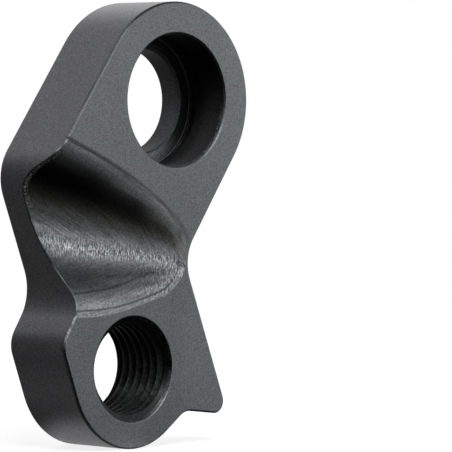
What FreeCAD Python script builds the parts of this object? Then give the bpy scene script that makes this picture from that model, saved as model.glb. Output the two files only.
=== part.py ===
import FreeCAD, Part
import math
import os
from collections import namedtuple

from FreeCAD import Vector

# Rear derailleur adapter: a flat link machined from one plate.
# Sizes are millimetres and degrees. The origin is the centre of the hanger bolt bore
# on the back face. The front face looks along -Y and Z is up.

# Plate
THICKNESS = 8.0
EDGE_BREAK = 0.16

# Head, round the hanger bolt bore, and the bulge to its left
HEAD_RADIUS = 9.78
BULGE_X = -11.6
BULGE_Z = -7.65
BULGE_RADIUS = 4.8

# Foot, round the derailleur hole
FOOT_X = -6.0
FOOT_Z = -26.42
FOOT_RADIUS = 7.87

# Shoulder above the foot on the left: how far it stands out past the foot's edge
SHOULDER_RADIUS = 2.6
SHOULDER_STEP = 1.65
SHOULDER_ANGLE = 159.6

# Stop tab at the lower right: its rounded tip and the hollow between it and the foot
TAB_REACH = 4.06
TAB_ANGLE = -18.5
TAB_TIP_RADIUS = 1.2
TAB_ROOT_RADIUS = 2.0
TAB_ROOT_RUN = 2.3
TAB_ROOT_ANGLE = -40.3

# Waists: hollow curves on each side between the head and the foot
LEFT_WAIST_RADIUS = 5.0
LEFT_WAIST_RUN = 1.7
LEFT_WAIST_ANGLE = 135.0
RIGHT_WAIST_X = 5.95
RIGHT_WAIST_Z = -16.25
RIGHT_WAIST_RADIUS = 4.38

# Hanger bolt bore: a counterbore for the bolt's head, its relief groove and a clear hole
BOLT_HEAD_RADIUS = 6.5
BOLT_SHANK_RADIUS = 5.0
HEAD_CLEARANCE = 0.1
SHANK_CLEARANCE = 0.2
COUNTERBORE_DEPTH = 5.2
RELIEF_WIDTH = 1.1
RELIEF_DEPTH = 0.3
SEAT_CHAMFER = 0.2
MOUTH_CHAMFER = 0.16
BACK_CHAMFER = 0.3

# Derailleur hole, at the full radius of its M10 x 1 thread
THREAD_RADIUS = 5.0
THREAD_LEAD_IN = 0.3

# Scallop milled into the front: its surface runs from the deep left edge and rises out of
# the front face just short of the right waist, where the scallop has a rounded end. Each
# station has its x, the z of its upper and lower rims, its depth, and its rise: how far
# the whole section is moved forward.
SCALLOP_STATIONS = [
    (-20.0, -1.4, -20.9, 5.9, 0.0),
    (-14.0, -4.0, -21.05, 4.4, 0.0),
    (-8.0, -6.7, -20.8, 2.8, 0.0),
    (-3.0, -9.6, -19.7, 1.3, 0.0),
    (-1.0, -10.9, -19.2, 0.64, 0.01),
    (1.0, -12.2, -18.9, 0.24, 0.18),
    (5.0, -13.4, -18.2, 0.12, 1.0),
]
# One section for every station: share of the way down from the upper rim, share of
# the depth, and steepness there.
SCALLOP_SECTION = [
    (-0.25, -0.2, 1.0),
    (0.0, 0.0, 0.5),
    (0.05, 0.035, 1.4),
    (0.165, 0.43, 6.3),
    (0.33, 0.95, 0.7),
    (0.5, 1.0, -0.3),
    (0.825, 0.42, -4.8),
    (0.955, 0.05, -1.3),
    (1.0, 0.0, -0.8),
    (1.25, -0.2, -0.8),
]

# Side of the outline that the centre of one of its arcs lies on
INSIDE = 1
OUTSIDE = -1
Circle = namedtuple("Circle", "x z radius side")


def at(x, y, z):
    return Vector(x, y, z)


def beyond(circle, distance, degrees, radius, side):
    """A circle whose centre is this far from another's, in this direction."""
    angle = math.radians(degrees)
    x = circle.x + distance * math.cos(angle)
    z = circle.z + distance * math.sin(angle)
    return Circle(x, z, radius, side)


def outline_circles():
    """The circles that the edge runs around, from the head down the left side."""
    head = Circle(0.0, 0.0, HEAD_RADIUS, INSIDE)
    bulge = Circle(BULGE_X, BULGE_Z, BULGE_RADIUS, INSIDE)
    foot = Circle(FOOT_X, FOOT_Z, FOOT_RADIUS, INSIDE)
    step = FOOT_RADIUS - SHOULDER_RADIUS + SHOULDER_STEP
    shoulder = beyond(foot, step, SHOULDER_ANGLE, SHOULDER_RADIUS, INSIDE)
    waist_gap = math.hypot(SHOULDER_RADIUS + LEFT_WAIST_RADIUS, LEFT_WAIST_RUN)
    left_waist = beyond(shoulder, waist_gap, LEFT_WAIST_ANGLE, LEFT_WAIST_RADIUS, OUTSIDE)
    root_gap = math.hypot(FOOT_RADIUS + TAB_ROOT_RADIUS, TAB_ROOT_RUN)
    root = beyond(foot, root_gap, TAB_ROOT_ANGLE, TAB_ROOT_RADIUS, OUTSIDE)
    tip = beyond(foot, FOOT_RADIUS + TAB_REACH, TAB_ANGLE, TAB_TIP_RADIUS, INSIDE)
    right_waist = Circle(RIGHT_WAIST_X, RIGHT_WAIST_Z, RIGHT_WAIST_RADIUS, OUTSIDE)
    return [head, bulge, left_waist, shoulder, foot, root, tip, right_waist]


def normal_angle(first, second):
    """Angle of the outward normal of the line that runs from one circle to the next."""
    step_x = second.x - first.x
    step_z = second.z - first.z
    reach = first.side * first.radius - second.side * second.radius
    return math.atan2(step_z, step_x) - math.acos(reach / math.hypot(step_x, step_z))


def on_circle(circle, angle):
    reach = circle.side * circle.radius
    return at(circle.x + reach * math.cos(angle), 0.0, circle.z + reach * math.sin(angle))


def outline_wire():
    """Arcs on the circles, joined by the straight lines that touch both neighbours."""
    circles = outline_circles()
    followers = circles[1:] + circles[:1]
    angles = [normal_angle(one, other) for one, other in zip(circles, followers)]
    edges = []
    for i, circle in enumerate(circles):
        start = angles[i - 1]
        turn = (angles[i] - start) % (2 * math.pi)
        if circle.side == OUTSIDE:
            turn -= 2 * math.pi
        first, middle, last = (on_circle(circle, start + turn * share) for share in (0, 0.5, 1))
        edges.append(Part.Arc(first, middle, last).toShape())
        edges.append(Part.LineSegment(last, on_circle(followers[i], angles[i])).toShape())
    return Part.Wire(edges)


def plate():
    """The plate with its outline's edges broken on both faces."""
    blank = Part.Face(outline_wire()).extrude(at(0, -THICKNESS, 0))
    rims = [edge for edge in blank.Edges if edge.BoundBox.YLength < THICKNESS / 2]
    return blank.makeChamfer(EDGE_BREAK, rims)


def turned(profile, x, z):
    """A solid of revolution about an axis along Y, from (radius, y) points."""
    points = [at(x + radius, y, z) for radius, y in profile]
    face = Part.Face(Part.makePolygon(points + points[:1]))
    return face.revolve(at(x, 0, z), at(0, 1, 0), 360)


def hanger_bore():
    head = BOLT_HEAD_RADIUS + HEAD_CLEARANCE
    shank = BOLT_SHANK_RADIUS + SHANK_CLEARANCE
    relief = head + RELIEF_DEPTH
    front = -THICKNESS
    seat = front + COUNTERBORE_DEPTH
    profile = [
        (0, 1),
        (shank + BACK_CHAMFER + 1, 1),
        (shank + BACK_CHAMFER, 0),
        (shank, -BACK_CHAMFER),
        (shank, seat + SEAT_CHAMFER),
        (shank + SEAT_CHAMFER, seat),
        (relief, seat),
        (relief, seat - RELIEF_WIDTH + RELIEF_DEPTH),
        (head, seat - RELIEF_WIDTH),
        (head, front + MOUTH_CHAMFER),
        (head + MOUTH_CHAMFER + 1, front - 1),
        (0, front - 1),
    ]
    return turned(profile, 0.0, 0.0)


def derailleur_hole():
    lead = THREAD_RADIUS + THREAD_LEAD_IN
    front = -THICKNESS
    profile = [
        (0, 1),
        (lead + 1, 1),
        (THREAD_RADIUS, -THREAD_LEAD_IN),
        (THREAD_RADIUS, front + THREAD_LEAD_IN),
        (lead + 1, front - 1),
        (0, front - 1),
    ]
    return turned(profile, FOOT_X, FOOT_Z)


def scallop_section(x, upper, lower, depth, rise):
    width = upper - lower
    points = []
    slopes = []
    for share, deep, steep in SCALLOP_SECTION:
        points.append(at(x, depth * deep - rise - THICKNESS, upper - width * share))
        slopes.append(at(0, depth * steep, -width))
    curve = Part.BSplineCurve()
    curve.interpolate(Points=points, Tangents=slopes, TangentFlags=[True] * len(points))
    return Part.Wire(curve.toShape())


def scallop():
    """Everything in front of the milled surface."""
    sections = [scallop_section(*station) for station in SCALLOP_STATIONS]
    surface = Part.makeLoft(sections, False, False)
    return surface.Faces[0].extrude(at(0, -2 * THICKNESS, 0))


def link():
    return plate().cut(scallop()).cut(hanger_bore()).cut(derailleur_hole())


os.makedirs("parts", exist_ok=True)
adapter = link().removeSplitter()
adapter.exportStep("parts/adapter_link.step")
print("solids", len(adapter.Solids), "valid", adapter.isValid(), "volume", round(adapter.Volume, 1))
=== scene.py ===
"""Dresses the rear derailleur adapter: its grey finish, the thread in its foot, and a studio."""

import math

import bmesh
import bpy
from mathutils import Matrix, Vector


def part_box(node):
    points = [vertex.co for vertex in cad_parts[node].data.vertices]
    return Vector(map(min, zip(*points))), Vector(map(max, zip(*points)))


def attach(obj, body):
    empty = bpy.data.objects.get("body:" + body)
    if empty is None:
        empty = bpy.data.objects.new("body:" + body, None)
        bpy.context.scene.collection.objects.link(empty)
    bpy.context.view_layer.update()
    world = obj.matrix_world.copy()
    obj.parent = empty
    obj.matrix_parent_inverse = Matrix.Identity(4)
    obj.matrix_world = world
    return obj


bl_info = {
    "name": "Rear Derailleur Adapter",
    "version": (1, 0, 0),
    "blender": (4, 5, 0),
    "location": "3D View > Sidebar > Adapter",
    "description": "Finishes a milled adapter link, threads its foot and sets up a studio round it",
    "category": "Object",
}

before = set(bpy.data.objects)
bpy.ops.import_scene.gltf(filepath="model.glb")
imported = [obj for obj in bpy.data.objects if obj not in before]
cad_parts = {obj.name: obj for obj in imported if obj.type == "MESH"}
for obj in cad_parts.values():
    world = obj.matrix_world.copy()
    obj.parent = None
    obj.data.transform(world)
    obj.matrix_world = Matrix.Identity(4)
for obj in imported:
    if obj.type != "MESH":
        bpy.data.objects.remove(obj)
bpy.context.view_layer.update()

MM = 0.001

# The link's places, in millimetres: x and z on its front, y through it from FRONT to 0. Its edges
# are broken at 45 degrees, and BREAK_FACING is the y of that break's normal.
LINK = "adapter_link"
THICKNESS = 8.0
FRONT = -THICKNESS
EDGE_BREAK = 0.16
BREAK_FACING = -0.71
HEAD_AT = (0.0, 0.0)
FOOT_AT = (-6.0, -26.42)
FOOT_MOUTH_RADIUS = 5.3
BULGE_AT = (-11.6, -7.65)
BULGE_RADIUS = 4.8
MIDDLE = Vector((-3.0, -4.0, -12.0)) * MM

# The hole in its head: the counterbore, the relief groove behind it, the seat and the bore
COUNTERBORE_RADIUS = 6.6
COUNTERBORE_MOUTH_RADIUS = COUNTERBORE_RADIUS + EDGE_BREAK
RELIEF_RADIUS = 6.9
RELIEF_Y = -3.9
SEAT_Y = -2.8
BORE_RADIUS = 5.2

# The thread's form: its angle in degrees, the crest's flat as a share of the pitch, the share of
# the lead-in at which the ridge ends, and how far the ridge is let into the wall
THREAD_ANGLE = 60.0
CREST_SHARE = 0.25
RIDGE_END = 0.9
LET_IN = 0.03 * MM
STEPS_PER_TURN = 96

# The scallop's rims on the front face: x, height of the upper rim, height of the lower rim
SCALLOP_RIMS = (
    (-20.0, -1.4, -20.9),
    (-14.0, -4.0, -21.05),
    (-8.0, -6.7, -20.8),
    (-3.0, -9.6, -19.7),
    (-1.0, -11.1, -19.1),
    (0.0, -12.4, -18.7),
    (1.0, -14.1, -18.2),
    (2.0, -15.0, -17.6),
)
UPPER_RIM, LOWER_RIM = 1, 2
LOWEST_RIM = -25.0

# Its rounded right end: a circle's centre and radius
SCALLOP_END = (-1.95, -16.0)
SCALLOP_END_RADIUS = 3.15

# Painted shade and highlight in the scallop, by the share of the way from its upper rim to its
# lower rim:
# at its deep left edge, in its middle and at its shallow end. 1 is the plain front's tone.
DEEP_TONE = (
    (0.0, 0.9), (0.03, 1.95), (0.08, 1.2), (0.13, 0.2), (0.18, 0.03), (0.23, 0.03),
    (0.28, 0.2), (0.33, 0.42), (0.4, 0.8), (0.47, 0.65), (0.53, 0.8), (0.575, 1.4),
    (0.68, 0.75), (0.82, 1.65), (0.88, 2.9), (0.97, 0.85), (1.0, 0.9),
)
MIDDLE_TONE = (
    (0.0, 0.9), (0.03, 1.4), (0.08, 2.3), (0.13, 0.85), (0.18, 0.27), (0.23, 0.16),
    (0.33, 0.55), (0.43, 0.85), (0.53, 0.9), (0.575, 1.2), (0.68, 0.65), (0.74, 0.75),
    (0.83, 2.7), (0.88, 2.6), (0.93, 0.75), (1.0, 1.0),
)
SHALLOW_TONE = (
    (0.0, 0.9), (0.08, 3.1), (0.23, 0.9), (0.33, 0.5), (0.43, 0.9), (0.53, 1.1),
    (0.575, 1.5), (0.68, 0.75), (0.74, 0.55), (0.83, 1.35), (0.88, 0.75), (1.0, 1.0),
)
LIGHTEST_TONE = 4.0

# Tints of the side walls and of the scallop's dark upper band, and the painted shadow by a torn
# edge
SIDE_TINT = (1.07, 1.03, 1.06)
WARM_BAND_TINT = (1.05, 1.0, 0.92)
NEAR_BLACK = (0.004, 0.004, 0.004)
WHITE = (1.0, 1.0, 1.0)

# How far the cut edge's lines of painted highlight and shadow reach in, and the floor's half width
CUT_EDGE_REACH = 0.3 * MM
FLOOR_REACH = 40.0
BEVEL_SAMPLES = 6


# Shader wiring


class Signal:
    """A node's output that Python's operators work on, each adding the Math node it stands for."""

    def __init__(self, wiring, socket):
        self.wiring = wiring
        self.socket = socket

    def output(self, name):
        return Signal(self.wiring, self.socket.node.outputs[name])

    def maths(self, operation, *others):
        return self.wiring.maths(operation, self, *others)

    def __add__(self, other):
        return self.maths("ADD", other)

    def __sub__(self, other):
        return self.maths("SUBTRACT", other)

    def __rsub__(self, other):
        return self.wiring.maths("SUBTRACT", other, self)

    def __mul__(self, other):
        return self.maths("MULTIPLY", other)

    def __truediv__(self, other):
        return self.maths("DIVIDE", other)

    def __rtruediv__(self, other):
        return self.wiring.maths("DIVIDE", other, self)

    def __pow__(self, other):
        return self.maths("POWER", other)

    def __abs__(self):
        return self.maths("ABSOLUTE")

    __radd__ = __add__
    __rmul__ = __mul__


class Wiring:
    """A node tree that is filled by short calls."""

    def __init__(self, owner):
        owner.use_nodes = True
        self.tree = owner.node_tree
        self.tree.nodes.clear()

    def add(self, kind, settings=None, sockets=None):
        """A node of that kind: its settings come first, then its sockets' values or links."""
        node = self.tree.nodes.new(kind)
        for name, value in (settings or {}).items():
            if name == "points":
                self.place_points(node.mapping, value)
            else:
                setattr(node, name, value)
        for name, value in (sockets or {}).items():
            if isinstance(value, Signal):
                self.tree.links.new(value.socket, node.inputs[name])
            else:
                node.inputs[name].default_value = value
        shown = [socket for socket in node.outputs if socket.enabled]
        return Signal(self, shown[0]) if shown else None

    def place_points(self, mapping, points):
        curve = mapping.curves[0]
        while len(curve.points) < len(points):
            curve.points.new(1.0, 1.0)
        for point, place in zip(curve.points, points):
            point.location = place
        mapping.update()

    def maths(self, operation, *values):
        return self.add("ShaderNodeMath", {"operation": operation}, dict(enumerate(values)))

    def axes(self, vector):
        parts = self.add("ShaderNodeSeparateXYZ", None, {0: vector})
        return [parts.output(name) for name in "XYZ"]

    def vector(self, x, y, z):
        return self.add("ShaderNodeCombineXYZ", None, {0: x, 1: y, 2: z})

    def dot(self, first, second):
        product = self.add(
            "ShaderNodeVectorMath", {"operation": "DOT_PRODUCT"}, {0: first, 1: second}
        )
        return product.output("Value")

    def ramp(self, value, start, end):
        """0 before start and 1 past end, eased between them. Start may be the larger."""
        return self.add(
            "ShaderNodeMapRange",
            {"interpolation_type": "SMOOTHSTEP"},
            {"Value": value, "From Min": start, "From Max": end},
        )

    def band(self, value, centre, reach):
        """1 at the centre, easing to 0 at the reach on both sides."""
        return self.ramp(abs(value - centre), reach, 0.0)

    def curve(self, value, points, scale):
        """A smooth curve through points: their places run from 0 to 1, their heights to scale."""
        scaled = [(place, height / scale) for place, height in points]
        return self.add("ShaderNodeFloatCurve", {"points": scaled}, {"Value": value}) * scale

    def noise(self, vector, scale, detail, roughness):
        return self.add(
            "ShaderNodeTexNoise",
            None,
            {"Vector": vector, "Scale": scale, "Detail": detail, "Roughness": roughness},
        )

    def drawn_noise(self, x, y, z, detail, roughness):
        """Noise that is as fine each way as its coordinate is steep."""
        return self.noise(self.vector(x, y, z), 1.0, detail, roughness)

    def mix(self, factor, first, second, blend_type="MIX"):
        return self.add(
            "ShaderNodeMix",
            {"data_type": "RGBA", "blend_type": blend_type},
            {"Factor": factor, 6: first, 7: second},
        )

    def tinted(self, colour, tint):
        return self.mix(1.0, colour, tint, "MULTIPLY")


def finished_material(name, build):
    material = bpy.data.materials.new(name)
    wiring = Wiring(material)
    shader = build(wiring)
    wiring.add("ShaderNodeOutputMaterial", None, {"Surface": shader})
    return material


def rgb(colour):
    return (*colour, 1.0)


def grey(wiring, tone):
    return wiring.add("ShaderNodeCombineColor", None, {0: tone, 1: tone, 2: tone})


def blend(first, second, share):
    """From the first at share 0 to the second at share 1."""
    return first + (second - first) * share


def distance_from(first, second, centre):
    """How far a point is from a centre, both given by two of their coordinates."""
    return ((first - centre[0]) ** 2.0 + (second - centre[1]) ** 2.0) ** 0.5


def millimetres(wiring):
    """The Object coordinates of a point, in millimetres."""
    place = wiring.add("ShaderNodeTexCoord").output("Object")
    return wiring.add("ShaderNodeVectorMath", {"operation": "SCALE"}, {0: place, "Scale": 1 / MM})


# The link's finish


class LinkSurface:
    """Where a point of the link lies, in millimetres, and which of its regions it is in, 0 to 1."""

    def __init__(self, wiring):
        ramp = wiring.ramp
        self.place = millimetres(wiring)
        self.x, self.y, self.z = wiring.axes(self.place)
        self.facing = wiring.axes(wiring.add("ShaderNodeTexCoord").output("Normal"))[1]
        self.from_head = distance_from(self.x, self.z, HEAD_AT)
        self.from_foot = distance_from(self.x, self.z, FOOT_AT)
        self.foot_height = self.z - FOOT_AT[1]
        self.specks = wiring.noise(self.place, 4.2, 2.0, 0.75)

        self.front = ramp(self.y, FRONT + 0.03, FRONT + 0.01)
        self.near_front = ramp(self.y, FRONT + 1.0, FRONT + 0.5)
        self.off_back = ramp(self.y, -1.0, -1.3)
        self.left_edge = ramp(self.x, -12.3, -12.8)
        self.walls = ramp(abs(self.facing), 0.5, 0.2)

        # The plate's outer edge, its break towards the front, and where that break gets painted
        # shade
        off_foot_hole = ramp(self.from_foot, FOOT_MOUTH_RADIUS + 0.2, FOOT_MOUTH_RADIUS + 0.4)
        off_head_hole = ramp(self.from_head, RELIEF_RADIUS - 0.05, RELIEF_RADIUS + 0.05)
        self.outline = off_foot_hole * off_head_hole
        at_break = ramp(self.y, FRONT + EDGE_BREAK + 0.02, FRONT + EDGE_BREAK)
        self.broken = wiring.band(self.facing, BREAK_FACING, 0.15) * at_break * self.outline
        round_foot = ramp(self.z, -22.9, -24.0)
        on_top = ramp(self.z, 6.5, 8.5)
        self.unlit = round_foot.maths("MAXIMUM", on_top * 0.7)


def rim_height(wiring, x, column):
    """The height of one of the scallop's rims at x, from a smooth curve through its stations."""
    first, last = SCALLOP_RIMS[0][0], SCALLOP_RIMS[-1][0]
    points = [((station[0] - first) / (last - first), station[column]) for station in SCALLOP_RIMS]
    return wiring.curve((x - first) / (last - first), points, LOWEST_RIM)


class Scallop:
    """Where a point lies in the scallop, in millimetres, and which of its regions it is in."""

    def __init__(self, wiring, surface):
        ramp = wiring.ramp
        x, z = surface.x, surface.z

        # How far below the upper rim, and that as a share of the way to the lower rim
        upper = rim_height(wiring, x, UPPER_RIM)
        lower = rim_height(wiring, x, LOWER_RIM)
        self.drop = upper - z
        self.share = self.drop / (upper - lower)

        # How far in from the lower rim, which turns up round the scallop's end
        end_x = (x - SCALLOP_END[0]).maths("MAXIMUM", 0.0)
        end_z = (z - SCALLOP_END[1]).maths("MINIMUM", 0.0)
        to_end = SCALLOP_END_RADIUS - (end_x ** 2.0 + end_z ** 2.0) ** 0.5
        self.rise = blend(z - lower, to_end, ramp(x, -1.6, -0.2))

        self.inside = (
            ramp(surface.facing, -0.06, -0.16)
            * ramp(self.share, -0.02, 0.0)
            * ramp(self.share, 1.02, 1.0)
            * ramp(surface.y, FRONT + 0.004, FRONT + 0.03)
            * surface.off_back
        )
        self.shallow = ramp(x, -6.0, 0.0)
        # The band that mirrors the glint softbox, where the painted sparks are strongest
        self.glint = wiring.band(self.share, 0.575, 0.11)

        # The torn stretch of its left edge, under the bulge, and the strip of burrs inside that
        inset = BULGE_RADIUS - distance_from(x, z, BULGE_AT)
        self.torn = ramp(z, -11.5, -8.0) * ramp(z, -4.4, -5.0) * surface.left_edge
        self.burr_strip = ramp(inset, 0.6, 0.3) * self.torn


class CutterMarks:
    """The marks that the cutter left in the scallop, each as noise from 0 to 1."""

    def __init__(self, wiring, surface, scallop):
        x, z, rise = surface.x, surface.z, scallop.rise

        # Lines in its upper half, which lean down to the right and bend towards its end
        bend = (x + 8.0).maths("MAXIMUM", 0.0)
        across = z + x * 0.68 + bend * bend * 0.1
        self.leaning = wiring.drawn_noise(across * 1.2, across * 4.5, x * 0.5, 3.0, 0.65)

        # Short upright strokes across its middle, and the sparks, painted highlights where they
        # catch the light
        self.strokes = wiring.drawn_noise(x * 8.5 - z * 1.6, z * 1.5, 0.0, 2.0, 0.6)
        fine = wiring.drawn_noise(x * 14.0 - z * 2.6, z * 3.6, 0.0, 2.0, 0.7)
        self.sparks = wiring.ramp(self.strokes * 0.55 + fine * 0.45, 0.42, 0.66)

        # Long lines and short ones, which follow the lower rim
        self.long = wiring.drawn_noise(x * 0.5, rise * 5.0 - x * 0.6, 0.0, 3.0, 0.65)
        self.short = wiring.drawn_noise(x * 3.0, rise * 6.5 - x * 0.7, 0.0, 3.0, 0.65)


class HeadHole:
    """The regions of the hole in the head, each from 0 to 1."""

    def __init__(self, wiring, surface):
        ramp, y, radius = wiring.ramp, surface.y, surface.from_head
        self.within = ramp(radius, RELIEF_RADIUS + 0.05, RELIEF_RADIUS)
        at_wall = ramp(radius, COUNTERBORE_RADIUS - 0.1, COUNTERBORE_RADIUS - 0.05)
        self.wall = (
            self.within
            * at_wall
            * ramp(y, FRONT + 0.14, FRONT + 0.2)
            * ramp(y, RELIEF_Y + 0.05, RELIEF_Y - 0.05)
        )
        self.mouth = (
            at_wall
            * ramp(radius, COUNTERBORE_MOUTH_RADIUS + 0.03, COUNTERBORE_MOUTH_RADIUS)
            * ramp(y, FRONT + 0.2, FRONT + EDGE_BREAK)
        )
        self.groove = (
            self.within
            * ramp(radius, COUNTERBORE_RADIUS + 0.02, COUNTERBORE_RADIUS + 0.1)
            * ramp(y, FRONT + 1.0, FRONT + 1.5)
            * ramp(y, SEAT_Y + 0.15, SEAT_Y + 0.05)
        )
        self.seat = (
            self.within
            * ramp(y, SEAT_Y - 0.05, SEAT_Y - 0.02)
            * ramp(surface.facing, -0.8, -0.9)
        )
        self.bore = (
            ramp(radius, BORE_RADIUS + 0.3, BORE_RADIUS + 0.2)
            * ramp(y, SEAT_Y - 0.2, SEAT_Y + 0.05)
        )


def scallop_tone(wiring, surface, scallop, marks):
    """Painted shade and highlights in the scallop: its bands, the cutter's marks and the burrs."""
    ramp, band = wiring.ramp, wiring.band
    x, share, rise, shallow = surface.x, scallop.share, scallop.rise, scallop.shallow
    turned_up = ramp(surface.z, -14.6, -15.8)

    # The bands of painted shade and highlight, from the deep edge through the middle to the shallow
    # end and out of it
    at_edge, at_middle, at_end = [
        wiring.curve(share, points, LIGHTEST_TONE)
        for points in (DEEP_TONE, MIDDLE_TONE, SHALLOW_TONE)
    ]
    tone = blend(at_edge, at_middle, ramp(x, -11.0, -5.0))
    tone = blend(tone, at_end, ramp(x, -5.0, -0.8))
    tone = blend(tone, 1.0, ramp(x, -0.2, 0.6) * 0.9)

    # Painted shade in the corner by the left edge, under its middle
    left_corner = ramp(x, -12.8, -14.0) * ramp(share, 0.48, 0.53)
    tone = tone * (1.0 - left_corner * (0.22 + ramp(share, 0.74, 0.78) * 0.18))

    # Where each kind of mark shows, and how strongly. The sparks are painted highlights, strongest
    # in the bright band.
    bright = scallop.glint.maths("MAXIMUM", ramp(share, 0.42, 0.56) * shallow)
    by_rim = (band(rise, 0.22, 0.34) + band(rise, 1.25, 0.7) * 0.8) * turned_up
    upper_half = ramp(share, 0.56, 0.46) * ramp(share, 0.17, 0.3)
    lower_half = ramp(share, 0.62, 0.68)
    glitter = (
        (marks.sparks - 0.3) * (bright * (2.1 - shallow * 0.6) + 0.25)
        + (marks.short - 0.5) * by_rim * 3.4
        + (marks.leaning - 0.5) * upper_half * 1.9
        + (marks.long - 0.5) * lower_half * 1.4
    )

    # Two lines of painted shade along the lower rim, for small steps there, one close by it and one
    # further in
    rim_line = band(rise, 0.6 + ramp(x, -2.5, -0.5) * 0.22, 0.19) * turned_up
    inner_line = band(rise, 2.75 + x * 0.04, 0.22) * ramp(x, 0.0, -6.0)
    tone = tone * (1.0 + glitter) * (1.0 - rim_line * 0.6) * (1.0 - inner_line * 0.5)

    # The burrs: a darker strip with specks of painted highlight
    burr_tone = ramp(surface.specks, 0.42, 0.62) * 2.4 + 0.15
    return blend(tone, burr_tone, scallop.burr_strip)


def front_tone(wiring, surface, scallop):
    """Painted shade and light on the front: the soft roll at the scallop's upper rim, and a slow
    change over it.
    """
    ramp, band, x = wiring.ramp, wiring.band, surface.x

    # The roll is a line of painted shade outside the rim. Round the scallop's end it is wider and
    # lies further out, and a painted lighter slope shows inside it.
    past = ramp(x, -1.0, 0.9)
    inward = scallop.drop + past * 0.25
    roll = band(inward, -0.12 - past * 0.6, 0.4 + past * 0.5) * ramp(x, 2.0, 1.2) * surface.front
    roll_depth = 0.42 + ramp(x, -3.0, -7.0) * 0.22 - past * 0.08
    sloped = ramp(surface.facing, -0.99, -0.965) * surface.near_front
    light_slope = sloped * past * band(inward, 0.12, 0.5) * 1.3

    # Painted light, growing to the right and towards the foot
    to_right = x.maths("MAXIMUM", 0.0) * 0.012
    to_foot = ramp(surface.z, -19.0, -23.0) * (0.03 + ramp(x, -2.0, 3.0) * 0.12)
    face = (1.0 + surface.front * to_right) * (1.0 + surface.front * to_foot)
    return (1.0 - roll * roll_depth) * (1.0 + light_slope) * face


def edge_tone(wiring, surface):
    """Painted shade on the plate's broken edge and walls by it, darkest round the foot and top."""
    ramp, band = wiring.ramp, wiring.band
    y, z, unlit = surface.y, surface.z, surface.unlit
    lit = 1.0 - unlit
    neck = ramp(z, 3.0, -1.0)

    # Painted shade on the break, most where it is unlit
    inner_half = ramp(y, FRONT + 0.06, FRONT + 0.1)
    below_head = ramp(z, -3.4, -3.8)
    depth = unlit * 0.78 + lit * inner_half * (0.5 - neck * 0.22) + below_head * lit * 0.45

    # A strip of painted shade along the walls by the front
    strip = surface.walls * ramp(y, FRONT + 0.5, FRONT + 0.2) * surface.outline
    strip_depth = 0.35 + unlit * 0.3 + neck * ramp(z, -14.0, -10.0) * 0.2

    # On the left wall, a painted reflection of the floor by the foot and painted shade at the
    # shoulder
    left_wall = surface.walls * ramp(surface.x, -10.0, -12.0)
    by_foot = band(z, -28.5, 3.5) * 0.35
    by_shoulder = band(z, -22.7, 1.8) * 0.2
    left_tone = 1.0 + left_wall * (by_foot - by_shoulder)
    return (1.0 - surface.broken * depth) * (1.0 - strip * strip_depth) * left_tone


def head_hole_tone(wiring, surface, hole):
    """Painted shade and highlights in the head's hole: its walls, mouth, groove, seat and bore."""
    ramp, band, z = wiring.ramp, wiring.band, surface.z
    wall_depth = 0.35 + ramp(z, -4.0, 4.5) * 0.63
    deeper_in = ramp(surface.y, -6.2, -4.2)
    wall = (1.0 - hole.wall * wall_depth) * (1.0 - hole.wall * deeper_in * 0.6)
    mouth = 1.0 - hole.mouth * ramp(z, -1.0, 2.0) * 0.85
    groove = 1.0 - hole.groove * 0.85

    rings = wiring.drawn_noise(surface.from_head * 6.0, 0.0, 0.0, 2.0, 0.6)
    outer_ring = band(surface.from_head, 6.7, 0.24)
    seat_tone = 0.45 + (rings - 0.5) * 0.8 + outer_ring * 3.8 + ramp(z, -3.0, -5.5) * 1.3
    bore_tone = 1.15 - ramp(z, 0.5, 4.5) * 0.6 - ramp(z, -1.0, -4.5) * 0.25
    seat, bore = blend(1.0, seat_tone, hole.seat), blend(1.0, bore_tone, hole.bore)
    return wall * mouth * groove * seat * bore


def foot_mouth_tone(wiring, surface):
    """The lead-in at the front of the foot's hole: painted shade, dark above, lighter below,
    chipped.
    """
    ramp = wiring.ramp
    edge = ramp(surface.from_foot, FOOT_MOUTH_RADIUS - 0.01, FOOT_MOUTH_RADIUS - 0.04)
    chips = ramp(wiring.noise(surface.place, 3.4, 3.0, 0.7), 0.35, 0.65)
    depth = 0.38 + ramp(surface.foot_height, -1.2, 0.3) * 0.58 + (0.5 - chips) * 0.4
    return 1.0 - edge * surface.near_front * depth


def glinting_nicks(wiring, surface, hole):
    """Nicks in the counterbore's lower right lip, 0 to 1, which carry painted highlight specks."""
    ramp = wiring.ramp
    lip = hole.within * wiring.band(surface.y, FRONT + 0.38, 0.28)
    lower_right = ramp(surface.z, 0.0, -2.0) * ramp(surface.x, 0.0, 3.0)
    return lip * lower_right * ramp(surface.specks, 0.44, 0.56)


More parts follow.
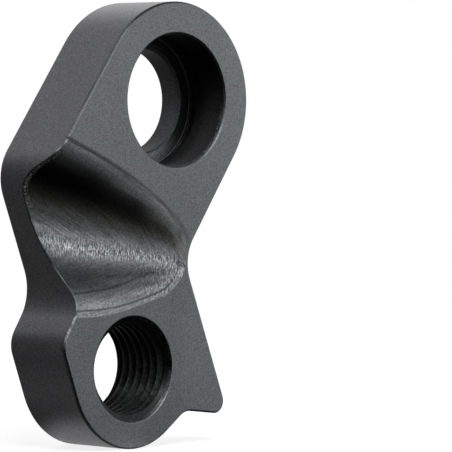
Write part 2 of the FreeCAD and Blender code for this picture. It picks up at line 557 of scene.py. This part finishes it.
def wear_and_highlight_edges(wiring, surface, agreement, nicks_and_glints):
    """How much bare metal shows on worn edges, and painted highlight on lit edges and lips."""
    ramp, band, x, z = wiring.ramp, wiring.band, surface.x, surface.z
    patchy = ramp(wiring.noise(surface.place, 3.0, 3.0, 0.6), 0.42, 0.62)
    knots = ramp(wiring.noise(surface.place, 3.2, 2.0, 0.7), 0.38, 0.62)

    # Every lit sharp edge a little, and the shoulder above the foot most: partly wear, partly
    # painted highlight
    sharp = ramp(agreement, 0.985, 0.90)
    shoulder = ramp(z, -20.5, -21.0) * ramp(z, -24.2, -23.4) * ramp(x, -10.0, -11.0)
    along_edges = sharp * (0.3 * patchy * (1.0 - surface.unlit) + shoulder * (0.55 + patchy * 0.45))
    on_shoulder = surface.broken * shoulder * (0.12 + knots * 0.55)

    # Painted highlights on the lower right of both mouths
    head_lip = band(surface.from_head, COUNTERBORE_MOUTH_RADIUS - 0.03, 0.11)
    head_lip = head_lip * ramp(z, 0.0, -2.0) * ramp(x, -1.5, 1.5)
    head_lip = head_lip * (0.45 + ramp(z, -4.5, -2.5) * 0.5)
    foot_lip = band(surface.from_foot, FOOT_MOUTH_RADIUS - 0.02, 0.065)
    foot_lip = foot_lip * ramp(surface.foot_height, 0.6, -1.4) * ramp(x, -7.5, -4.0)
    in_front = ramp(surface.y, FRONT + 0.4, FRONT + 0.2)
    on_lips = (head_lip * 0.8 + foot_lip * 0.7) * (0.3 + knots * 0.8) * in_front
    return along_edges + on_shoulder + nicks_and_glints * 0.9 + on_lips


def cut_edge(wiring, surface, scallop, agreement):
    """Where the cutter left the plate: painted shadow on its torn edge, painted highlight on its
    clean parts.
    """
    ramp, z = wiring.ramp, surface.z
    edge = surface.left_edge * surface.off_back * ramp(surface.y, FRONT + EDGE_BREAK, FRONT + 0.3)
    clean = ramp(z, -15.6, -16.6).maths("MAXIMUM", ramp(z, -5.1, -4.8))
    ragged = agreement + (surface.specks - 0.5) * scallop.torn * 0.2
    dark = edge * (1.0 - clean) * ramp(ragged, 0.99, 0.955) * ramp(agreement, 0.999, 0.994)
    lower = ramp(agreement, 0.985, 0.95) * 0.6
    upper = ramp(agreement, 0.998, 0.985) * ramp(z, -5.3, -5.0)
    return edge, dark, edge * clean * lower.maths("MAXIMUM", upper)


def rounded_normal(wiring, flat, radius):
    """The normal as if edges were rounded, and how far it agrees with the flat one, up to 1."""
    rounded = wiring.add("ShaderNodeBevel", {"samples": BEVEL_SAMPLES}, {"Radius": radius})
    return rounded, wiring.dot(rounded, flat)


def metal(wiring, finish, colour, roughness, normal):
    return wiring.add(
        "ShaderNodeBsdfPrincipled",
        None,
        {
            "Base Color": colour,
            "Roughness": roughness,
            "Metallic": finish.metallic,
            "Normal": normal,
        },
    )


def anodised_link(wiring, finish):
    surface = LinkSurface(wiring)
    scallop = Scallop(wiring, surface)
    marks = CutterMarks(wiring, surface, scallop)
    hole = HeadHole(wiring, surface)

    # The tone, region by region: random grain, then painted shade and highlights in each region
    grain = wiring.noise(surface.place, 5.6, 2.0, 0.7)
    cloud = wiring.noise(surface.place, 0.22, 3.0, 0.5)
    tone = 1.0 + (grain - 0.5) * 1.75 + (cloud - 0.5) * 0.25
    tone = tone * blend(1.0, scallop_tone(wiring, surface, scallop, marks), scallop.inside)
    tone = tone * front_tone(wiring, surface, scallop)
    tone = tone * edge_tone(wiring, surface)
    tone = tone * head_hole_tone(wiring, surface, hole)
    tone = tone * foot_mouth_tone(wiring, surface)

    colour = wiring.tinted(rgb(finish.anodised), grey(wiring, tone))
    colour = wiring.mix(surface.walls, colour, wiring.tinted(colour, rgb(SIDE_TINT)))
    # A warmer tint across the scallop's dark upper band
    warm_band = scallop.inside * wiring.band(scallop.share, 0.27, 0.2)
    colour = wiring.mix(warm_band, colour, wiring.tinted(colour, rgb(WARM_BAND_TINT)))

    # Edges: a rounded normal turns away from the flat one there
    flat = wiring.add("ShaderNodeNewGeometry").output("Normal")
    rounded, agreement = rounded_normal(wiring, flat, finish.edge_wear * MM)
    nicks_and_glints = glinting_nicks(wiring, surface, hole)
    wear_and_highlights = wear_and_highlight_edges(wiring, surface, agreement, nicks_and_glints)
    wide_agreement = rounded_normal(wiring, flat, CUT_EDGE_REACH)[1]
    edge, dark, bright = cut_edge(wiring, surface, scallop, wide_agreement)
    # Painted shadow by the torn cut edge, painted highlight on its clean parts, then wear and
    # painted highlights on edges
    colour = wiring.mix(dark * 0.95, colour, rgb(NEAR_BLACK))
    colour = wiring.mix(bright, colour, rgb(finish.bare_edge_and_highlight))
    colour = wiring.mix((wear_and_highlights * (1.0 - edge)).maths("MINIMUM", 1.0), colour, rgb(finish.bare_edge_and_highlight))

    # Smoother in the scallop, and rougher in the head's hole, but for its nicks
    roughness = finish.roughness + (cloud - 0.5) * 0.08 - scallop.inside * 0.14
    roughness = roughness + (hole.wall + hole.bore * 0.8) * (0.4 - nicks_and_glints * 0.4)

    # The blasting's grain all over, the cutter's marks and the burrs, in millimetres
    height = wiring.noise(surface.place, 5.5, 3.0, 0.62) * 0.008
    stroke_height = (marks.strokes - 0.5) * (scallop.glint * 0.05 + 0.006)
    height = height + scallop.inside * (stroke_height + (marks.leaning - 0.5) * 0.012)
    height = height + scallop.inside * scallop.burr_strip * (surface.specks - 0.5) * 0.1
    bump = wiring.add(
        "ShaderNodeBump",
        None,
        {"Strength": 1.0, "Distance": MM, "Height": height, "Normal": rounded},
    )
    return metal(wiring, finish, colour, roughness, bump)


def anodised_thread(wiring, finish, sizes):
    ramp, band = wiring.ramp, wiring.band
    place = millimetres(wiring)
    x, y, z = wiring.axes(place)
    across = x - FOOT_AT[0]
    down = FOOT_AT[1] - z
    grain = wiring.noise(place, 5.0, 2.0, 0.7)
    wear_and_highlights = wiring.noise(place, 2.2, 3.0, 0.65)

    # The hole's lower half, and the bottom of it
    low = ramp(down, -2.5, 2.0)
    bottom = ramp(down, 1.8, 4.0)

    # Where on the ridge a point lies: 0 on the crest, and half a pitch either way at the roots
    turn = down.maths("ARCTAN2", across) / (2 * math.pi)
    pitches = (y - FRONT) / (sizes.pitch / MM)
    phase = (pitches - turn - sizes.start + 0.5).maths("FRACT") - 0.5
    crest = band(phase, 0.02, 0.12 + low * 0.05)
    lip = band(phase, -0.11, 0.05)
    flank = ramp(phase, -0.46, -0.36) * ramp(phase, 0.03, -0.08)

    # Painted shade and highlights on the ridge: darkest in its roots and at the hole's bottom,
    # lighter on its crest and lip, and on its flanks low in the hole
    root_tone = 0.05
    lip_tone = 0.03 + wear_and_highlights * 0.06 + low * (1.0 - bottom) * 0.35
    flank_tone = low * (0.2 + ramp(wear_and_highlights, 0.3, 0.7) * 0.65)
    ridge = root_tone + crest * 0.07 + lip * lip_tone + flank * flank_tone
    ridge = ridge * (1.0 - bottom * 0.6) * (1.0 - crest * low * (0.65 + bottom * 0.3))

    # The countersinks at both faces cut the ridge back to a plain cone
    depth = (y - FRONT).maths("MINIMUM", 0.0 - y)
    mouth_radius = (sizes.major_radius + sizes.lead_in) / MM
    reach = (across ** 2.0 + down ** 2.0) ** 0.5
    cone = ramp(mouth_radius - depth - reach, -0.08, -0.02)
    # Painted light on the cone, growing low down
    lit_lower_cone = ramp(down, 0.2, 2.0) * (0.06 + grain * 0.4)
    cone_tone = root_tone + ramp(down, -0.3, 0.4) * 0.12 + lit_lower_cone

    tone = blend(ridge, cone_tone, cone) * (0.6 + grain * 0.8)
    colour = wiring.tinted(rgb(finish.anodised), grey(wiring, tone))
    roughness = finish.roughness - 0.08 + (wear_and_highlights - 0.5) * 0.1 + bottom * 0.3
    bump = wiring.add(
        "ShaderNodeBump", None, {"Strength": 0.5, "Distance": MM, "Height": grain * 0.01}
    )
    return metal(wiring, finish, colour, roughness, bump)


# Settings


class AdapterFinish(bpy.types.PropertyGroup):
    """The colours and the sheen of the anodised metal."""

    anodised: bpy.props.FloatVectorProperty(
        name="Anodised grey",
        description="Colour of the dyed, bead-blasted surface",
        subtype="COLOR",
        size=3,
        min=0.0,
        max=1.0,
        default=(0.128, 0.134, 0.137),
    )
    # Also the colour of painted highlights on lit edges, lips and the clean cut edge
    bare_edge_and_highlight: bpy.props.FloatVectorProperty(
        name="Bare edge",
        description="Colour of the metal where the dye is thin, on broken edges and lips",
        subtype="COLOR",
        size=3,
        min=0.0,
        max=1.0,
        default=(0.42, 0.43, 0.44),
    )
    roughness: bpy.props.FloatProperty(
        name="Roughness",
        description="How matt the blasting leaves the metal",
        subtype="FACTOR",
        min=0.0,
        max=1.0,
        default=0.48,
    )
    metallic: bpy.props.FloatProperty(
        name="Metallic",
        description="How much of the metal shines through the oxide layer",
        subtype="FACTOR",
        min=0.0,
        max=1.0,
        default=0.95,
    )
    edge_wear: bpy.props.FloatProperty(
        name="Edge rounding",
        description="Radius in millimetres that the blasting gives a sharp edge",
        min=0.0,
        max=0.5,
        default=0.09,
    )


class AdapterThread(bpy.types.PropertyGroup):
    """The sizes of the thread in the foot."""

    major_radius: bpy.props.FloatProperty(
        name="Major radius",
        description="Radius at the thread's roots, which is the bore's wall",
        unit="LENGTH",
        default=5.0 * MM,
    )
    minor_radius: bpy.props.FloatProperty(
        name="Minor radius",
        description="Radius at the thread's crests",
        unit="LENGTH",
        default=4.46 * MM,
    )
    pitch: bpy.props.FloatProperty(
        name="Pitch",
        description="Distance from one crest to the next",
        unit="LENGTH",
        default=1.0 * MM,
    )
    start: bpy.props.FloatProperty(
        name="Start",
        description="Where a crest stands on the hole's right side, as a share of the pitch",
        subtype="FACTOR",
        min=0.0,
        max=1.0,
        default=0.32,
    )
    lead_in: bpy.props.FloatProperty(
        name="Lead-in",
        description="How far the countersink widens the hole at each face",
        unit="LENGTH",
        default=0.3 * MM,
    )


class AdapterStudio(bpy.types.PropertyGroup):
    """The floor, the lamps and the camera."""

    floor_colour: bpy.props.FloatVectorProperty(
        name="Floor",
        description="Colour of the pale floor",
        subtype="COLOR",
        size=3,
        min=0.0,
        max=1.0,
        default=(0.25, 0.25, 0.25),
    )
    floor_white: bpy.props.FloatProperty(
        name="Floor white",
        description="How much of the floor's white stays in the link's shadow",
        subtype="FACTOR",
        min=0.0,
        max=1.0,
        default=0.8,
    )
    floor_gain: bpy.props.FloatProperty(
        name="Floor gain",
        description="How brightly the near floor shows its light and shadow to the camera",
        min=0.0,
        default=2.2,
    )
    key_brightness: bpy.props.FloatProperty(
        name="Key softbox",
        description="Brightness of the large softbox at the front right",
        min=0.0,
        default=2.36,
    )
    glint_brightness: bpy.props.FloatProperty(
        name="Glint softbox",
        description="Brightness of the small softbox that the scallop's floor mirrors",
        min=0.0,
        default=9.0,
    )
    edge_brightness: bpy.props.FloatProperty(
        name="Edge softbox",
        description="Brightness of the softbox above the camera, which draws the upper edges",
        min=0.0,
        default=7.0,
    )
    side_brightness: bpy.props.FloatProperty(
        name="Side softbox",
        description="Brightness of the softbox behind the left side",
        min=0.0,
        default=2.1,
    )
    back_brightness: bpy.props.FloatProperty(
        name="Back softbox",
        description="Brightness of the softbox behind and above, which draws the top edge",
        min=0.0,
        default=1.5,
    )
    ambient: bpy.props.FloatProperty(
        name="Ambient light",
        description="Strength of the room's own light",
        min=0.0,
        default=0.13,
    )
    aim: bpy.props.FloatVectorProperty(
        name="Aim",
        description="Point that the camera looks at",
        subtype="TRANSLATION",
        unit="LENGTH",
        size=3,
        default=(10.66 * MM, -4.025 * MM, -12.814 * MM),
    )
    azimuth: bpy.props.FloatProperty(
        name="Azimuth",
        description="Camera's turn round the link from straight in front, towards its right",
        subtype="ANGLE",
        default=math.radians(-44.5),
    )
    elevation: bpy.props.FloatProperty(
        name="Elevation",
        description="Camera's angle above the horizon",
        subtype="ANGLE",
        default=math.radians(1.85),
    )
    distance: bpy.props.FloatProperty(
        name="Distance",
        description="From the camera to its aim",
        unit="LENGTH",
        default=370.0 * MM,
    )
    lens: bpy.props.FloatProperty(
        name="Lens",
        description="Focal length in millimetres on a 36 mm sensor",
        default=288.65,
    )


# Parts


def new_object(name, mesh_builder, material):
    """An object at the origin whose mesh comes from a bmesh that the builder fills."""
    shape = bmesh.new()
    mesh_builder(shape)
    mesh = bpy.data.meshes.new(name)
    shape.to_mesh(mesh)
    shape.free()
    mesh.materials.append(material)
    piece = bpy.data.objects.new(name, mesh)
    bpy.context.scene.collection.objects.link(piece)
    return piece


def thread_section(sizes, flank_steps=5):
    """The ridge's section: (radius, distance along the hole) up one flank and down the other."""
    height = sizes.major_radius - sizes.minor_radius
    lean = math.tan(math.radians(THREAD_ANGLE / 2))
    crest = sizes.pitch * CREST_SHARE / 2
    flank = [
        (
            sizes.minor_radius + height * step / flank_steps,
            crest + height * lean * step / flank_steps,
        )
        for step in range(flank_steps, -1, -1)
    ]
    rising = [(sizes.major_radius + LET_IN, flank[0][1])] + flank
    return [(radius, -along) for radius, along in rising] + rising[::-1]


def fill_thread(shape, sizes):
    """A helical ridge: its section is spun round the hole, then both countersinks cut it back."""
    centre = Vector((FOOT_AT[0] * MM, 0.0, FOOT_AT[1] * MM))
    front, back = FRONT * MM, 0.0
    turns = round(THICKNESS * MM / sizes.pitch) + 1
    first = front + (sizes.start - 1.0) * sizes.pitch
    start = [
        shape.verts.new(centre + Vector((radius, first + along, 0.0)))
        for radius, along in thread_section(sizes)
    ]
    edges = [shape.edges.new(pair) for pair in zip(start, start[1:])]
    bmesh.ops.spin(
        shape,
        geom=start + edges,
        cent=centre,
        axis=(0.0, 1.0, 0.0),
        dvec=(0.0, sizes.pitch / STEPS_PER_TURN, 0.0),
        angle=2 * math.pi * turns,
        steps=STEPS_PER_TURN * turns,
    )
    for vertex in shape.verts:
        away = vertex.co - centre
        depth = min(away.y - front, back - away.y)
        away.y = 0.0
        cone = sizes.major_radius + sizes.lead_in - depth
        if away.length < cone:
            reach = min(cone, sizes.major_radius + LET_IN)
            vertex.co += away.normalized() * (reach - away.length)
    trim = sizes.lead_in * RIDGE_END
    for side, normal in ((front + trim, -1.0), (back - trim, 1.0)):
        bmesh.ops.bisect_plane(
            shape,
            geom=shape.verts[:] + shape.edges[:] + shape.faces[:],
            plane_co=(0.0, side, 0.0),
            plane_no=(0.0, normal, 0.0),
            clear_outer=True,
        )
    bmesh.ops.recalc_face_normals(shape, faces=shape.faces)
    for face in shape.faces:
        face.smooth = False


# The studio


def direction(azimuth, elevation):
    """A unit vector that way. The azimuth is 0 in front of the link and grows to its right."""
    return Vector(
        (
            math.sin(azimuth) * math.cos(elevation),
            -math.cos(azimuth) * math.cos(elevation),
            math.sin(elevation),
        )
    )


def softbox(name, brightness, azimuth, elevation, distance, width, height):
    """A rectangular lamp that looks at the link's middle, placed in degrees and metres."""
    lamp = bpy.data.lights.new(name, "AREA")
    lamp.shape = "RECTANGLE"
    lamp.size = width
    lamp.size_y = height
    lamp.energy = brightness * math.pi * width * height
    holder = bpy.data.objects.new(name, lamp)
    away = direction(math.radians(azimuth), math.radians(elevation))
    holder.location = MIDDLE + away * distance
    holder.rotation_euler = (-away).to_track_quat("-Z", "Y").to_euler()
    holder.visible_camera = False
    bpy.context.scene.collection.objects.link(holder)


def seen_white(wiring, behind):
    """1 for what the camera sees, and behind the link for what it mirrors or shows through too."""
    path = wiring.add("ShaderNodeLightPath")
    mirrored = path.output("Is Glossy Ray") + path.output("Is Transmission Ray")
    return (path.output("Is Camera Ray") + mirrored * behind).maths("MINIMUM", 1.0)


def behind_link(wiring, studio, place, start, end):
    """0 to 1 as a place moves away past the link, the way that the camera looks."""
    return wiring.ramp(wiring.dot(place, -direction(studio.azimuth, 0.0)), start, end)


def pale_floor(wiring, studio):
    """A pale floor that the camera sees as white, with the link's shadow on the part near it."""
    place = wiring.add("ShaderNodeTexCoord").output("Object")
    x, y = wiring.axes(place)[:2]

    # The metal mirrors the white floor behind the link, and close round its foot
    back = -direction(studio.azimuth, 0.0)
    beside = wiring.ramp(x * back.y - y * back.x, -45.0 * MM, -20.0 * MM)
    behind = behind_link(wiring, studio, place, 4.0 * MM, 30.0 * MM)
    from_foot = distance_from(x, y, (FOOT_AT[0] * MM, FRONT * MM / 2))
    under = wiring.ramp(from_foot, 9.0 * MM, 4.5 * MM) * 0.9
    seen = seen_white(wiring, (behind * beside).maths("MAXIMUM", under))

    far = wiring.ramp(distance_from(x, y, (0.0, 0.0)), 50.0 * MM, 400.0 * MM)
    share = blend(studio.floor_white, 1.0, far)
    lit = wiring.add("ShaderNodeBsdfDiffuse", None, {"Color": rgb(studio.floor_colour)})
    shaded = wiring.add("ShaderNodeBsdfDiffuse", None, {"Color": rgb([studio.floor_gain] * 3)})
    white = wiring.add("ShaderNodeEmission", None, {"Color": rgb(WHITE), "Strength": 1.0})
    pale = wiring.add("ShaderNodeMixShader", None, {0: share, 1: shaded, 2: white})
    return wiring.add("ShaderNodeMixShader", None, {0: seen, 1: lit, 2: pale})


class ADAPTER_OT_finish(bpy.types.Operator):
    """Give the link its bead-blasted, anodised finish, with painted shade and highlights"""

    bl_idname = "adapter.finish"
    bl_label = "Finish the Link"

    def execute(self, context):
        finish = context.scene.adapter_finish
        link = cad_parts[LINK]
        material = finished_material(
            "anodised_grey", lambda wiring: anodised_link(wiring, finish)
        )
        link.data.materials.clear()
        link.data.materials.append(material)
        return {"FINISHED"}


class ADAPTER_OT_thread(bpy.types.Operator):
    """Cut the thread in the foot's hole"""

    bl_idname = "adapter.thread"
    bl_label = "Cut the Thread"

    def execute(self, context):
        finish = context.scene.adapter_finish
        sizes = context.scene.adapter_thread
        if sizes.minor_radius >= sizes.major_radius:
            raise ValueError("the thread's crests have to stand inside its roots")
        material = finished_material(
            "anodised_thread", lambda wiring: anodised_thread(wiring, finish, sizes)
        )
        ridge = new_object("derailleur_thread", lambda shape: fill_thread(shape, sizes), material)
        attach(ridge, "root")
        return {"FINISHED"}


class ADAPTER_OT_studio(bpy.types.Operator):
    """Set up the floor, the lamps and the camera"""

    bl_idname = "adapter.studio"
    bl_label = "Set Up the Studio"

    def execute(self, context):
        studio = context.scene.adapter_studio
        self.lay_floor(studio)
        self.light_room(context.scene, studio)
        self.place_softboxes(studio)
        self.aim_camera(context.scene, studio)
        context.scene.view_settings.view_transform = "Standard"
        return {"FINISHED"}

    def lay_floor(self, studio):
        lowered = Matrix.Translation((0.0, 0.0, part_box(LINK)[0].z))

        def fill(shape):
            bmesh.ops.create_grid(
                shape, x_segments=1, y_segments=1, size=FLOOR_REACH, matrix=lowered
            )

        material = finished_material("pale_floor", lambda wiring: pale_floor(wiring, studio))
        new_object("floor", fill, material)

    def light_room(self, scene, studio):
        scene.world = bpy.data.worlds.new("studio")
        wiring = Wiring(scene.world)
        white = rgb(WHITE)
        room = wiring.add(
            "ShaderNodeBackground", None, {"Color": white, "Strength": studio.ambient}
        )
        backdrop = wiring.add("ShaderNodeBackground", None, {"Color": white, "Strength": 1.0})
        way = wiring.add("ShaderNodeTexCoord").output("Generated")
        seen = seen_white(wiring, behind_link(wiring, studio, way, 0.25, 0.75))
        mixed = wiring.add("ShaderNodeMixShader", None, {0: seen, 1: room, 2: backdrop})
        wiring.add("ShaderNodeOutputWorld", None, {"Surface": mixed})

    def place_softboxes(self, studio):
        softbox(
            "key_softbox", studio.key_brightness,
            azimuth=48.0, elevation=17.0, distance=1.2, width=1.24, height=0.5,
        )
        softbox(
            "glint_softbox", studio.glint_brightness,
            azimuth=17.0, elevation=8.0, distance=1.0, width=0.3, height=0.15,
        )
        softbox(
            "side_softbox", studio.side_brightness,
            azimuth=-135.0, elevation=50.0, distance=0.9, width=0.45, height=0.45,
        )
        softbox(
            "edge_softbox", studio.edge_brightness,
            azimuth=-28.0, elevation=52.0, distance=0.9, width=0.42, height=0.34,
        )
        softbox(
            "back_softbox", studio.back_brightness,
            azimuth=145.0, elevation=30.0, distance=0.9, width=0.4, height=0.3,
        )

    def aim_camera(self, scene, studio):
        camera = bpy.data.cameras.new("camera")
        camera.lens = studio.lens
        camera.sensor_width = 36.0
        camera.clip_start = 0.01
        camera.clip_end = 100.0
        holder = bpy.data.objects.new("camera", camera)
        away = direction(studio.azimuth, studio.elevation)
        holder.location = Vector(studio.aim) + away * studio.distance
        holder.rotation_euler = (-away).to_track_quat("-Z", "Y").to_euler()
        scene.collection.objects.link(holder)
        scene.camera = holder


class ADAPTER_PT_panel(bpy.types.Panel):
    """The adapter's steps and settings, in the sidebar"""

    bl_label = "Rear Derailleur Adapter"
    bl_idname = "ADAPTER_PT_panel"
    bl_space_type = "VIEW_3D"
    bl_region_type = "UI"
    bl_category = "Adapter"

    def draw(self, context):
        for group, _, operator in GROUPS:
            box = self.layout.box()
            settings = getattr(context.scene, group)
            for name in settings.bl_rna.properties.keys():
                if name not in {"rna_type", "name"}:
                    box.prop(settings, name)
            box.operator(operator.bl_idname)


# Each group of settings on the scene, and the operator that works from it
GROUPS = (
    ("adapter_finish", AdapterFinish, ADAPTER_OT_finish),
    ("adapter_thread", AdapterThread, ADAPTER_OT_thread),
    ("adapter_studio", AdapterStudio, ADAPTER_OT_studio),
)
CLASSES = (
    AdapterFinish,
    AdapterThread,
    AdapterStudio,
    ADAPTER_OT_finish,
    ADAPTER_OT_thread,
    ADAPTER_OT_studio,
    ADAPTER_PT_panel,
)


def register():
    for each in CLASSES:
        bpy.utils.register_class(each)
    for name, settings, _ in GROUPS:
        setattr(bpy.types.Scene, name, bpy.props.PointerProperty(type=settings))


def unregister():
    for name, _, _ in GROUPS:
        delattr(bpy.types.Scene, name)
    for each in reversed(CLASSES):
        bpy.utils.unregister_class(each)


def main():
    register()
    bpy.ops.adapter.finish()
    bpy.ops.adapter.thread()
    bpy.ops.adapter.studio()


if __name__ == "__main__":
    main()
